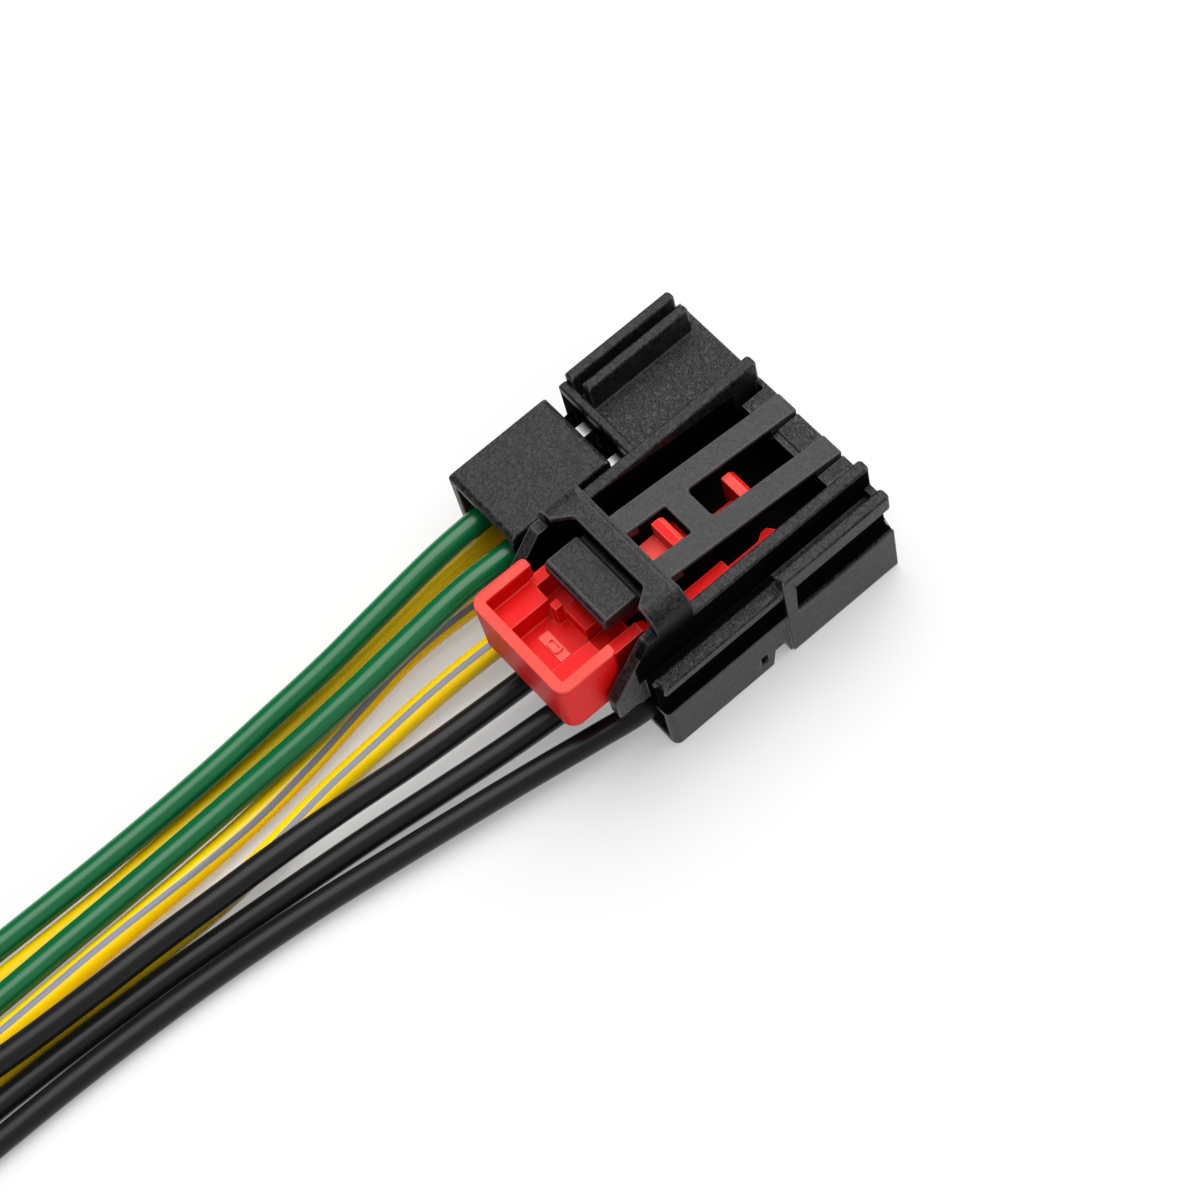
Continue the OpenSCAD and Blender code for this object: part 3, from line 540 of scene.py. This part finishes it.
shadedSpaces = {  # boxes in mm of the spaces whose walls get painted shade
    "wellUnderTab": ((-2.75, -19.0, 8.5), (13.35, -5.9, 21.6)),
    "slotBehindHood": ((-17.8, -2.0, 7.0), (-5.1, -0.1, 12.6)),
    "gapBesideHood": ((-7.0, -15.7, 10.9), (-4.15, -2.0, 12.4)),
    "sideGroove": ((14.85, -16.0, 7.5), (17.25, 17.0, 13.0)),
    "railWall": ((14.75, -16.5, 13.15), (14.95, 17.0, 17.5)),
    "ledgeGutter": ((14.75, -16.5, 13.0), (15.7, 1.4, 13.2)),
    "deckSeam": ((-4.35, 0.9, 10.8), (-4.0, 16.9, 13.0)),
}
# Painted shade on the side of the yoke
yokeSideShade = {
    "box": ((13.9, -16.5, 17.4), (14.95, -8.4, 22.6)),  # mm
    "fade": (17.0, 22.3),  # mm, the painted shade fades out towards its top
}
underArmShade = {  # painted shade below the arm's sloped top
    "box": ((-2.75, -6.0, 6.6), (13.35, 12.0, 18.0)),  # mm
    "level": 16.85,  # mm, height of the slope over the origin
    "lean": 0.1313,  # its fall for each mm forwards
}
red = {
    "skin": (0.84, 0.006, 0.005, 1),
    "deep": (0.66, 0.003, 0.003, 1),  # hollows of the grain, and painted shade inside the tray
    "padHighlight": (0.95, 0.16, 0.13, 1),  # painted highlight on the top of the small pad
    # painted highlight on the edges, the tray's rim and the tops of lugs and prongs
    "paintedHighlight": (0.97, 0.20, 0.15, 1),
    "cloud": {"scale": 320, "detail": 4, "rough": 0.6},
    "cloudShare": 0.5,
    "sparkShare": 0.5,
    "sparkRange": (0.3, 0.7),
    "sparkDepth": 0.035,  # mm
    "strength": 0.8,
    "trayShadeShare": 0.75,
    "edgeShare": 0.5,
    "highlightShare": 0.6,
    "highlightLeast": 0.3,
    "highlightClouds": 0.5,
    "padShare": 0.65,
    "rough": 0.36,
    "cloudRough": 0.14,
    "padPolish": 0.16,
    "gloss": 1.22,
}
trayShadeBox = ((-1.2, -25.0, 12.0), (11.2, -13.0, 17.6))  # mm, inside the tray, which gets painted shade
padTop = ((3.35, -20.75, 12.85), (7.25, -19.3, 13.3))  # mm, top of the small pad, with a painted highlight and less roughness
highlightFaces = {  # boxes in mm of faces that get a painted highlight
    "trayRim": ((-2.0, -26.0, 18.2), (13.0, -13.0, 18.7)),
    "lugAndProngTops": ((2.0, -8.0, 14.7), (9.0, 8.0, 17.0)),
}


def inBox(axes, box):  # 1 inside the box
    inside = 1.0
    for axis, bottom, top in zip(axes, *box):
        inside = inside * ((axis > bottom * mm) * (axis < top * mm))
    return inside


def inAny(net, axes, boxes):  # 1 inside any of the boxes
    found = 0.0
    for box in boxes.values():
        found = net.highest(found, inBox(axes, box))
    return found


# Mask of the painted shade: the spaces given, below the arm's slope and on the yoke's side
def paintedShadePlaces(net, axes, spaces):
    belowSlope = axes[2] + axes[1] * underArmShade["lean"] < underArmShade["level"] * mm
    bottom, top = [height * mm for height in yokeSideShade["fade"]]
    deep = net.highest(inAny(net, axes, spaces), inBox(axes, underArmShade["box"]) * belowSlope)
    return net.highest(deep, inBox(axes, yokeSideShade["box"]) * (1 - axes[2].smooth(bottom, top)))


def blackPlastic(name, spaces, armSheen=None):
    material, net = newMaterial(name)
    place = net.objectPlace()
    axes = net.split(place)
    rough = inAny(net, axes, coarseFaces)
    edge = net.attribute("edge", "Fac")
    cloud = net.noise(place, **black["cloud"])
    grain = net.noise(place, **spark)
    ridge = (net.noise(place, **black["worm"]) - 0.5).size() * 2
    fine = net.bump(grain, black["sparkDepth"] * mm, black["strength"])
    relief = net.bump(ridge * rough, black["wormDepth"] * mm, black["strength"], fine)
    wear = cloud * black["cloudShare"] + grain.smooth(*black["sparkRange"]) * black["sparkShare"]
    skin = net.tint(wear, black["skin"], black["lighter"])
    # painted sheen on the arm's top
    if armSheen:
        skin = net.tint(inBox(axes, armSheen) * black["armSheenShare"], skin, black["armSheen"])
    ridged = black["coarseShare"] + black["ridgeShare"] * ridge.smooth(*black["ridgeRange"])
    skin = net.tint(rough * ridged, skin, black["coarse"])
    # painted highlight, with some wear, on the rounded edges
    skin = net.tint(edge * (black["edgeShare"] + black["edgeClouds"] * cloud), skin, black["edge"])
    dullness = black["rough"] + black["cloudRough"] * cloud + black["sparkRough"] * grain
    finishMaterial(net, {
        "Base Color": skin,
        "Roughness": dullness - black["edgePolish"] * edge,
        "Normal": relief,
        "IOR": black["gloss"],
    }, paintedShadePlaces(net, axes, spaces) * black["paintedShadeShare"])
    return material


def redPlastic(name):
    material, net = newMaterial(name)
    place = net.objectPlace()
    axes = net.split(place)
    mark = inBox(axes, padTop)
    edge = net.attribute("edge", "Fac")
    cloud = net.noise(place, **red["cloud"])
    grain = net.noise(place, **spark)
    tops = cloud * red["cloudShare"] + grain.smooth(*red["sparkRange"]) * red["sparkShare"]
    skin = net.tint(tops, red["deep"], red["skin"])
    # painted shade inside the tray
    skin = net.tint(inBox(axes, trayShadeBox) * red["trayShadeShare"], skin, red["deep"])
    # painted highlight on edges and on the rim and tops
    lighter = net.highest(edge * red["edgeShare"], inAny(net, axes, highlightFaces) * red["highlightShare"])
    skin = net.tint(lighter * (red["highlightLeast"] + red["highlightClouds"] * cloud), skin, red["paintedHighlight"])
    # the pad's top gets a painted highlight
    finishMaterial(net, {
        "Base Color": net.tint(mark * red["padShare"], skin, red["padHighlight"]),
        "Roughness": red["rough"] + red["cloudRough"] * cloud - red["padPolish"] * mark,
        "Normal": net.bump(grain, red["sparkDepth"] * mm, red["strength"]),
        "IOR": red["gloss"],
    })
    return material


# Flats stay flat, curved walls stay smooth, and the rounding runs from one to the other
def hardenNormals(mesh):
    mesh.shade_smooth()
    mesh.update()
    around = [[] for vertex in mesh.vertices]
    for face in mesh.polygons:
        if face.material_index == 0:
            for corner in face.vertices:
                around[corner].append((face.normal.copy(), face.area))
    normals = [Vector() for loop in mesh.loops]
    bend = math.cos(math.radians(mould["bend"]))
    for face in mesh.polygons:
        for place in face.loop_indices:
            corner = mesh.loops[place].vertex_index
            near = face.normal if face.material_index == 0 else mesh.vertices[corner].normal
            walls = around[corner]
            if walls and face.material_index:
                near = max(walls, key=lambda wall: wall[0].dot(near))[0]
            for normal, area in walls:
                if normal.dot(near) > bend:
                    normals[place] += normal * area
            normals[place] = normals[place].normalized() if normals[place].length else near
    edge = mesh.attributes.new("edge", "FLOAT", "FACE")
    for face, mark in zip(mesh.polygons, edge.data):
        mark.value = face.material_index
        face.material_index = 0
    mesh.normals_split_custom_set(normals)
    mesh.materials.clear()


# A copy of a node's mesh with its points merged, its flats whole and its keen edges weighted
def preparedMesh(node, split):
    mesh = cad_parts[node].data.copy()
    mesh.materials.clear()
    solid = bmesh.new()
    solid.from_mesh(mesh)
    surface = BVHTree.FromBMesh(solid)
    bmesh.ops.remove_doubles(solid, verts=solid.verts, dist=mould["join"] * mm)
    bmesh.ops.dissolve_degenerate(solid, edges=solid.edges, dist=mould["sliver"] * mm)
    flat = math.radians(mould["flat"])
    bmesh.ops.dissolve_limit(solid, angle_limit=flat, verts=solid.verts, edges=solid.edges)
    if split:
        bmesh.ops.connect_verts_concave(solid, faces=solid.faces)
    weight = solid.edges.layers.float.new("bevel_weight_edge")
    for edge in solid.edges:
        if len(edge.link_faces) == 2 and edge.calc_face_angle() > math.radians(mould["sharp"]):
            middle = (edge.verts[0].co + edge.verts[1].co) / (2 * mm)
            small = all(low < place < high for place, low, high in zip(middle, *fineMark))
            edge[weight] = mould["fine"] if small else 1
    solid.to_mesh(mesh)
    solid.free()
    return mesh, surface


def roundEdges(node, dims):
    mesh, surface = preparedMesh(node, dims["split"])
    blank = bpy.data.objects.new("blank", mesh)
    scene.collection.objects.link(blank)
    bevel = blank.modifiers.new("edges", "BEVEL")
    bevel.limit_method = "WEIGHT"
    bevel.width = dims["round"] * mm
    bevel.segments = mould["steps"]
    bevel.use_clamp_overlap = False
    bevel.miter_outer = "MITER_ARC"
    bevel.material = 1  # marks the faces of the rounding
    mesh.materials.append(None)
    mesh.materials.append(None)
    rounded = plainMesh(blank, dims["piece"])
    for vertex in rounded.vertices:  # crowded corners come back onto the solid's surface
        spot, normal, index, gap = surface.find_nearest(vertex.co)
        if gap > mould["stray"] * mm:
            vertex.co = spot
    hardenNormals(rounded)
    piece = bpy.data.objects.new(dims["piece"], rounded)
    scene.collection.objects.link(piece)
    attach(piece, dims["body"])
    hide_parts(node)
    return piece


def makeMouldings():
    finishes = {
        "housing": blackPlastic("black housing", shadedSpaces),
        "latch_lever": blackPlastic("black latch", {}, armTop),
        "lock_slide": redPlastic("red moulding"),
    }
    for node, dims in moulded.items():
        piece = roundEdges(node, dims)
        piece.data.materials.append(finishes[node])


makeMouldings()
print("mouldings dressed")

# Terminals: tinned strip, drawn along its length
tin = {
    "dull": (0.30, 0.30, 0.29, 1),
    "bright": (0.52, 0.52, 0.51, 1),
    "cloud": {"scale": 700, "detail": 3},
    "lines": {"scale": 6000, "detail": 2},
    "lineStretch": (1, 0.05, 1),
    "lineDepth": 0.004,  # mm
    "lineStrength": 0.6,
    "rough": 0.2,
    "cloudRough": 0.2,
}


def tinPlate():
    material, net = newMaterial("tinned strip")
    place = net.objectPlace()
    drawn = net.add("ShaderNodeMapping", None, {"Vector": place, "Scale": tin["lineStretch"]})
    cloud = net.noise(place, **tin["cloud"])
    lines = net.noise(drawn, **tin["lines"])
    finishMaterial(net, {
        "Base Color": net.tint(cloud, tin["dull"], tin["bright"]),
        "Metallic": 1.0,
        "Roughness": tin["rough"] + tin["cloudRough"] * cloud,
        "Normal": net.bump(lines, tin["lineDepth"] * mm, tin["lineStrength"]),
    })
    return material


def dressTerminals():
    plate = tinPlate()
    for node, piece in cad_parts.items():
        if node.startswith("terminal"):
            piece.data.materials.clear()
            piece.data.materials.append(plate)


dressTerminals()
print("terminals dressed")

# Floor and light, with lengths in metres
stage = {
    "size": 4.0,
    "drop": 0.00002,  # of the floor under the leads, which lie on it
    "floor": 0.80,
    "lift": 0.38,  # how far the camera sees the floor's shadow washed out
    "liftLevel": 0.82,  # and to what level
    "liftMirrored": 0.65,  # the same in reflections
    "sky": 0.10,
    "glow": 3.0,  # soft halo round the key
    "glowSpread": 0.7,  # cosine of the angle where it ends
    "fill": 0.6,  # low glow on the right
    "fillSpread": 0.65,
    "fillSide": (0.84, -0.2, 0.5),
    "keyPower": 3.2,  # watts
    "keySize": 0.9,
    "keyPlace": (-0.12, 0.18, 0.62),
}


def makeFloor():
    mesh = bpy.data.meshes.new("floor")
    half = stage["size"] / 2
    corners = [(-half, -half, 0), (half, -half, 0), (half, half, 0), (-half, half, 0)]
    mesh.from_pydata(corners, [], [(0, 1, 2, 3)])
    floor = bpy.data.objects.new("floor", mesh)
    floor.location.z = -stage["drop"]
    scene.collection.objects.link(floor)
    material, net = newMaterial("pale floor")
    direct = net.rays("Is Camera Ray")
    level = 1 - direct * (1 - stage["liftLevel"])
    washed = net.highest(direct * stage["lift"], net.rays("Is Glossy Ray") * stage["liftMirrored"])
    matt = net.add("ShaderNodeBsdfDiffuse", None, {"Color": grey(stage["floor"])})
    pale = net.add("ShaderNodeEmission", None, {"Color": grey(1), "Strength": level})
    shown = net.add("ShaderNodeMixShader", None, {0: washed, 1: matt, 2: pale})
    net.add("ShaderNodeOutputMaterial", None, {"Surface": shown})
    mesh.materials.append(material)


def makeSky():
    world = bpy.data.worlds.new("studio")
    scene.world = world
    world.use_nodes = True
    net = Net(world.node_tree)
    strength = stage["sky"]
    for side, level, spread in (("keyPlace", "glow", "glowSpread"), ("fillSide", "fill", "fillSpread")):
        values = {0: net.add("ShaderNodeTexCoord", out="Generated"), 1: Vector(stage[side]).normalized()}
        facing = net.add("ShaderNodeVectorMath", {"operation": "DOT_PRODUCT"}, values, out="Value")
        strength = strength + stage[level] * facing.smooth(stage[spread], 1.0)
    strength = strength + net.rays("Is Camera Ray") * (1 - strength)  # plain white behind the floor
    sky = net.add("ShaderNodeBackground", None, {"Color": grey(1), "Strength": strength})
    net.add("ShaderNodeOutputWorld", None, {"Surface": sky})


def makeKey():
    data = bpy.data.lights.new("key", "AREA")
    data.shape = "DISK"
    data.size = stage["keySize"]
    data.energy = stage["keyPower"]
    lamp = bpy.data.objects.new("key", data)
    lamp.location = stage["keyPlace"]
    lamp.rotation_euler = (-Vector(lamp.location)).to_track_quat("-Z", "Y").to_euler()
    scene.collection.objects.link(lamp)


makeFloor()
makeSky()
makeKey()
print("stage lit")
